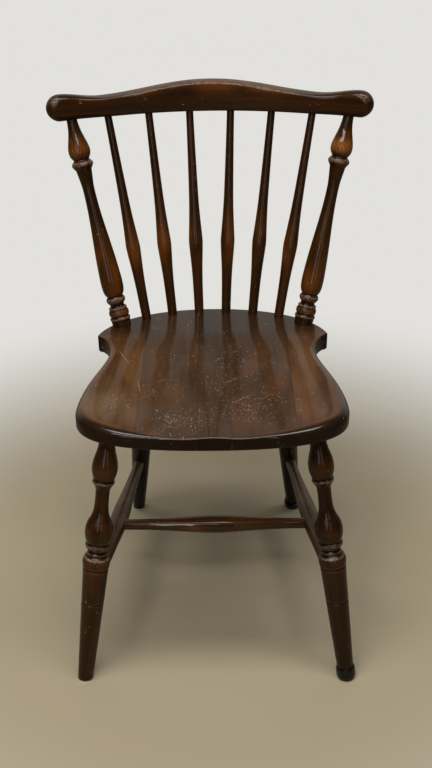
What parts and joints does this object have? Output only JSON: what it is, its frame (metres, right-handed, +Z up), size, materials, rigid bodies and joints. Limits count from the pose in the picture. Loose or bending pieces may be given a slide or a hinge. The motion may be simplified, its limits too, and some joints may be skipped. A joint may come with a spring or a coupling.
{
  "type": "spindle back chair",
  "caption": "Armless wooden dining chair with a saddled plank seat, turned legs and posts, H stretcher, plain spindles and a bowed crest rail.",
  "frame": {"origin": "on the floor under the middle of the chair's bounding box", "axes": "+Z up, -Y towards the front of the chair, +X to the right of someone facing it"},
  "size_m": [0.5296, 0.524, 0.8342],
  "materials": {
    "seat_wood": "dark walnut stain under semi-gloss lacquer, worn",
    "turned_wood": "dark red-brown stain under semi-gloss lacquer, rubbed pale on the beads and rings",
    "crest_wood": "dark stain under semi-gloss lacquer, edges rubbed pale",
    "rubber_tip": "matt black rubber, dusty rim"
  },
  "bodies": {
    "root": {"seat_board_1": "seat_wood", "seat_board_2": "seat_wood", "seat_board_3": "seat_wood", "seat_board_4": "seat_wood", "seat_board_5": "seat_wood", "front_leg_left": "turned_wood", "front_leg_right": "turned_wood", "rear_leg_left": "turned_wood", "rear_leg_right": "turned_wood", "front_tip_right": "rubber_tip", "rear_tip_right": "rubber_tip", "side_stretcher_left": "turned_wood", "side_stretcher_right": "turned_wood", "centre_stretcher": "turned_wood", "back_post_left": "turned_wood", "back_post_right": "turned_wood", "spindle_1": "turned_wood", "spindle_2": "turned_wood", "spindle_3": "turned_wood", "spindle_4": "turned_wood", "spindle_5": "turned_wood", "spindle_6": "turned_wood", "crest_rail": "crest_wood"}
  },
  "joints": []
}
